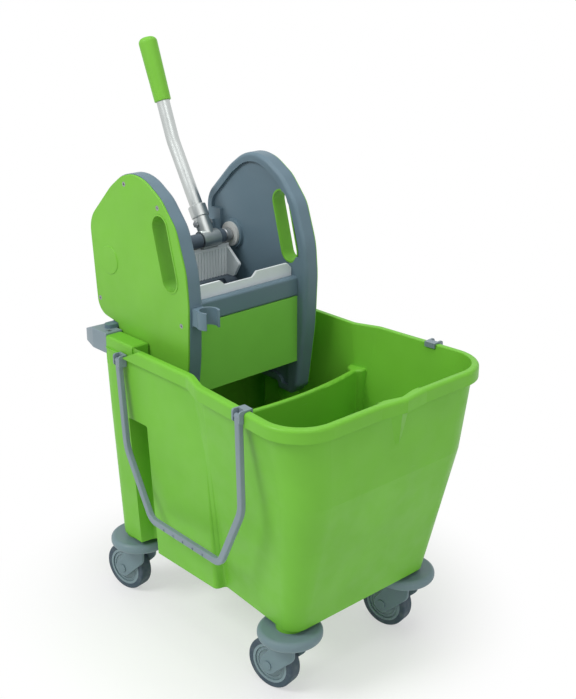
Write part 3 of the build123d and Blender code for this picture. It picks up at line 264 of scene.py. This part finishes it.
def relief(tree, shader, height, place, depth, edge=edge_radius):
    """Turns a height into bumps of depth metres, on edges rounded to edge metres."""
    bump = node(tree, "ShaderNodeBump", place, Strength=1.0, Distance=depth)
    tree.links.new(height, bump.inputs["Height"])
    if edge:
        soft_edge = node(tree, "ShaderNodeBevel", (place[0] - 200, place[1] - 200), Radius=edge)
        soft_edge.samples = 4
        tree.links.new(soft_edge.outputs["Normal"], bump.inputs["Normal"])
    tree.links.new(bump.outputs["Normal"], shader.inputs["Normal"])


print("edges are shaded with a radius of", edge_radius * 1000, "mm")

# %% [markdown]
# The scratches are noise that is squeezed along one axis, cut off so that only its
# peaks are left, and multiplied by large patches. A moulding is rubbed in some
# places and untouched in others, so the patches matter more than the scratches.
# The surface of a mould is blasted, which swallows a part of the gloss, so the
# specular level is lower than that of smooth plastic and the colour stays full.

# %% Moulded plastic with rubbed patches
flow_size = 0.11  # metres across, as all sizes of noise here
scratch_size = 0.0016
patch_size = 0.045
gloss_size = 0.03
grain_depth = 0.00002


def moulded(name, colour, rough, scuffed):
    """Injection moulded plastic: cloudy colour, mould grain and rubbed patches."""
    material, tree, shader, coords = surface(name)
    darker = tuple(c * 0.90 for c in colour)
    streams = cloud(tree, coords, (-1000, 300), flow_size)
    flow = spread(tree, streams, (-600, 300), 0.0, 1.0, 0.3, 0.7)
    tone = between(tree, flow, (-400, 300), darker, colour)
    scrape = cloud(tree, coords, (-1000, 50), scratch_size, 2.0, (1.0, 0.06, 1.0))
    rubbed = spread(tree, scrape, (-600, 50), 0.0, 1.0, 0.66, 0.74)
    touched = cloud(tree, coords, (-1000, -150), patch_size)
    patches = spread(tree, touched, (-600, -150), 0.0, scuffed, 0.48, 0.7)
    worn = node(tree, "ShaderNodeMath", (-400, -50), operation="MULTIPLY")
    tree.links.new(rubbed, worn.inputs[0])
    tree.links.new(patches, worn.inputs[1])
    paler = tuple(min(1.0, c * 0.6 + 0.32) for c in colour)
    scratched = between(tree, worn.outputs[0], (-150, 250), tone, paler)
    tree.links.new(scratched, shader.inputs["Base Color"])
    sheen = cloud(tree, coords, (-1000, -350), gloss_size, 4.0)
    dull = spread(tree, sheen, (-600, -350), rough - 0.05, rough + 0.08)
    tree.links.new(dull, shader.inputs["Roughness"])
    texture = cloud(tree, coords, (-1000, -600), mould_grain, 2.0)
    relief(tree, shader, texture, (-300, -600), grain_depth)
    shader.inputs["IOR"].default_value = 1.49
    shader.inputs["Specular IOR Level"].default_value = 0.3
    return material


print("the colour flows in clouds of", flow_size * 1000, "mm")

# %% [markdown]
# The tank and the wringer's covers are nearly the same lime green. The plate between
# the cheeks stands in their shade, so it gets a paler green of its own: painted light
# that stands in for the lamp light it lacks. The side frames are a slate blue-grey, and
# the small parts at the rim a lighter grey. The wheels are a shade paler than their
# forks, which shows the rings on their hubs.

# %% The plastics of the bucket, with their roughness and their share of wear
finish = {
    "bucket_green": moulded("lime_tank_plastic", (0.178, 0.520, 0.040), 0.42, 0.10),
    "panel_green": moulded("lime_panel_plastic", (0.188, 0.515, 0.045), 0.42, 0.08),
    "frame_blue_grey": moulded("slate_frame_plastic", (0.140, 0.215, 0.265), 0.40, 0.10),
    "trim_grey": moulded("grey_handle_plastic", (0.225, 0.290, 0.330), 0.42, 0.10),
    "press_white_grey": moulded("pale_press_plastic", (0.800, 0.860, 0.870), 0.45, 0.06),
    "press_dark_grey": moulded("dark_carrier_plastic", (0.085, 0.115, 0.145), 0.45, 0.10),
    "bearing_plastic": moulded("white_bearing_plastic", (0.600, 0.620, 0.600), 0.35, 0.04),
    "castor_grey": moulded("castor_plastic", (0.180, 0.262, 0.290), 0.44, 0.25),
}
wheel_plastic = moulded("castor_wheel_plastic", (0.225, 0.315, 0.340), 0.46, 0.30)
# A paler copy of the panel green: painted light for the plate in the shade of the cheeks.
painted_light_panel = moulded("lime_front_plate_painted_paler", (0.225, 0.600, 0.085), 0.40, 0.06)
print("plastics:", ", ".join([*finish, wheel_plastic.name, painted_light_panel.name]))

# %% [markdown]
# ## Rubber
# The tyres are soft grey rubber. Rubber scatters light at its surface, so its
# highlight is wide and dull, and dust stays in its pores. Three sizes of noise are
# enough: the largest is dust, the next one makes patches that are worn smooth, and
# the smallest is the pores.

# %% Tyre rubber
dust_size = 0.014
smooth_size = 0.008
pore_size = 0.0012
pore_depth = 0.00004
clean_rubber = (0.040, 0.070, 0.095)
dusty_rubber = (0.110, 0.140, 0.160)

rubber, tree, shader, coords = surface("castor_tyre_rubber")
settled = cloud(tree, coords, (-1000, 200), dust_size, 5.0)
dust = spread(tree, settled, (-600, 200), 0.0, 0.55, 0.45, 0.75)
tone = between(tree, dust, (-300, 200), clean_rubber, dusty_rubber)
tree.links.new(tone, shader.inputs["Base Color"])
worn_smooth = cloud(tree, coords, (-1000, -100), smooth_size)
tree.links.new(spread(tree, worn_smooth, (-600, -100), 0.55, 0.72), shader.inputs["Roughness"])
relief(tree, shader, cloud(tree, coords, (-1000, -400), pore_size, 3.0), (-300, -400), pore_depth)
finish["tyre_rubber"] = rubber
print("rubber pores are", pore_size * 1000, "mm across")

# %% [markdown]
# ## Steel
# The lever tube is drawn steel with a thin bright plating: long fine streaks run
# along the tube, because that is the way it was drawn and polished. The tube leans,
# so the streaks need coordinates that lean with it. A Mapping node turns them, and
# a strong squeeze along one axis makes a streak out of each blob of noise.
# Bolts and the press shaft are plain zinc-plated steel without a direction.
# Steel gets no Bevel node, because turned and cut steel keeps crisp edges.

# %% Streaked tube and plated fasteners
grip_low, grip_high = (Vector(c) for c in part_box("lever_grip"))
socket_low, socket_high = (Vector(c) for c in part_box("lever_socket"))
lever_run = (grip_low + grip_high) / 2 - (socket_low + socket_high) / 2
lever_lean = atan2(-lever_run.x, lever_run.z)
print("the lever leans back by", round(lever_lean * 180 / pi, 1), "degrees")


zinc_size = 0.0014
streak_size = 0.0010
along_tube = (1.0, 1.0, 0.012)
stain_size = 0.02
polish_depth = 0.0000015


def bright_steel(name, colour, rough, stained, lean=None):
    """Plated steel. Its stains are darker by the share stained."""
    material, tree, shader, coords = surface(name)
    shader.inputs["Metallic"].default_value = 1.0
    if lean is None:
        streaks = cloud(tree, coords, (-1000, 0), zinc_size, 3.0)
    else:
        turned = node(tree, "ShaderNodeMapping", (-1150, -200), Rotation=(0, lean, 0))
        tree.links.new(coords, turned.inputs["Vector"])
        streaks = cloud(tree, turned.outputs["Vector"], (-950, 0), streak_size, 3.0, along_tube)
    stain = spread(tree, cloud(tree, coords, (-1000, 300), stain_size, 4.0), (-600, 300), 0.0, 1.0)
    tone = between(tree, stain, (-300, 300), tuple(c * (1 - stained) for c in colour), colour)
    tree.links.new(tone, shader.inputs["Base Color"])
    dull = spread(tree, streaks, (-600, 0), rough - 0.02, rough + 0.04)
    tree.links.new(dull, shader.inputs["Roughness"])
    relief(tree, shader, streaks, (-300, -400), polish_depth, edge=None)
    return material


zinc = (0.42, 0.44, 0.45)
bright_plate = (0.54, 0.57, 0.56)
finish["bright_steel"] = bright_steel("zinc_plated_steel", zinc, 0.40, 0.14)
finish["lever_tube_steel"] = bright_steel("drawn_tube_steel", bright_plate, 0.34, 0.05, lever_lean)
print("finishes so far:", len(finish))

# %% [markdown]
# The record of the CAD model says which finish each node has, so one loop dresses
# them all. Three kinds of node get another one: the wheels have a paler grey of their
# own, the plate between the cheeks gets a paler green that paints light into the shade
# it stands in, and of the axles only the ends show, which are grey like the forks.

# %% Give every CAD node its finish
for part in frame["record"]["subparts"]:
    name = part["node"]
    chosen = finish[part["material_slot"]]
    if name.endswith("_hub"):
        chosen = wheel_plastic
    elif name.endswith("_axle"):
        chosen = finish["castor_grey"]
    elif name == "front_panel":
        # The plate between the cheeks takes the paler green that paints light into its shade.
        chosen = painted_light_panel
    for place in nodes[name].material_slots:
        place.material = chosen

# %% [markdown]
# ## Hub covers
# Each castor wheel has a pressed plastic cover on both sides. It hides the spokes
# and gives the wheel its rings: a flat outer band, a raised bead and a shallow dish
# round the axle. It could be turned from a profile with Spin, but a disc that is
# inset ring by ring and then raised is quicker, and stays easy to change. The cover
# is modelled once, flat at the middle of the scene, and copied to the wheels later.

# %% A flat ring with four bands
cover_radius = 0.0266
cover_gauge = 0.0006
cover_sides = 72
bands = (0.0035, 0.0016, 0.0052, 0.0036)  # widths from the edge inwards
bpy.ops.object.select_all(action="DESELECT")
bpy.ops.mesh.primitive_circle_add(vertices=cover_sides, radius=cover_radius, fill_type="NGON")
hub_cover = bpy.context.object
bpy.ops.object.mode_set(mode="EDIT")
bpy.ops.mesh.select_mode(type="FACE")
bpy.ops.mesh.select_all(action="SELECT")
for band in bands:
    bpy.ops.mesh.inset(thickness=band)
bpy.ops.mesh.delete(type="FACE")
bpy.ops.mesh.select_all(action="SELECT")
bpy.ops.mesh.extrude_region_move(TRANSFORM_OT_translate={"value": (0, 0, cover_gauge)})
bpy.ops.mesh.select_all(action="SELECT")
bpy.ops.mesh.normals_make_consistent(inside=False)
bpy.ops.object.mode_set(mode="OBJECT")
print("open ring with", len(hub_cover.data.polygons), "faces")

# %% [markdown]
# To raise the bead, only the top faces of the second band are wanted. They are
# picked by their distance from the axle and by the way they face.

# %% Raise the bead and soften its edges
def pick_top_ring(piece, near, far):
    """Selects the upward faces whose middles lie between near and far of the axle."""
    mesh = bmesh.from_edit_mesh(piece.data)
    for face in mesh.faces:
        middle = face.calc_center_median()
        reach = Vector((middle.x, middle.y)).length
        face.select_set(near < reach < far and face.normal.z > 0.5)
    mesh.select_flush(True)
    bmesh.update_edit_mesh(piece.data)


bead_rise = 0.0009
bead_out = cover_radius - bands[0]
bead_in = bead_out - bands[1]
bpy.ops.object.mode_set(mode="EDIT")
bpy.ops.mesh.select_all(action="DESELECT")
pick_top_ring(hub_cover, bead_in, bead_out)
bpy.ops.mesh.extrude_region_move(TRANSFORM_OT_translate={"value": (0, 0, bead_rise)})
bpy.ops.mesh.select_all(action="DESELECT")
pick_top_ring(hub_cover, bead_in - bands[2], bead_in)
bpy.ops.transform.translate(value=(0, 0, -cover_gauge / 2))
bpy.ops.object.mode_set(mode="OBJECT")
soften = hub_cover.modifiers.new("rounded_edges", "BEVEL")
soften.width = 0.0003
soften.segments = 2
soften.limit_method = "ANGLE"
bpy.ops.object.modifier_apply(modifier=soften.name)
bpy.ops.object.shade_smooth_by_angle(angle=0.6)
hub_cover.data.materials.append(wheel_plastic)
print("hub cover measures", [round(v * 1000, 2) for v in hub_cover.dimensions], "mm")

# %% [markdown]
# The wheels stand a little turned, so the covers follow the axle of each wheel. The
# joint of the wheel knows where its axle is and which way it points. A matrix turns
# the flat cover to face along it, and the place goes into the mesh itself.

# %% Put a cover on both sides of every wheel
wheel_face = 0.0115  # from the middle of the wheel to its side
recess = 0.0025  # how deep the cover lies in the wheel
for joint in frame["record"]["behaviour"]["joints"]:
    if not joint["name"].endswith("_roll"):
        continue
    axle = Vector(joint["axis"]).normalized()
    centre = Vector(joint["pos_m"])
    for hand, outward in (("right", axle), ("left", -axle)):
        cover = bpy.data.objects.new(f"hub_cover_{joint['child']}_{hand}", hub_cover.data.copy())
        bpy.context.collection.objects.link(cover)
        turn = outward.to_track_quat("Z", "Y").to_matrix().to_4x4()
        cover.data.transform(Matrix.Translation(centre + outward * (wheel_face - recess)) @ turn)
        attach(cover, joint["child"])
bpy.data.objects.remove(hub_cover)
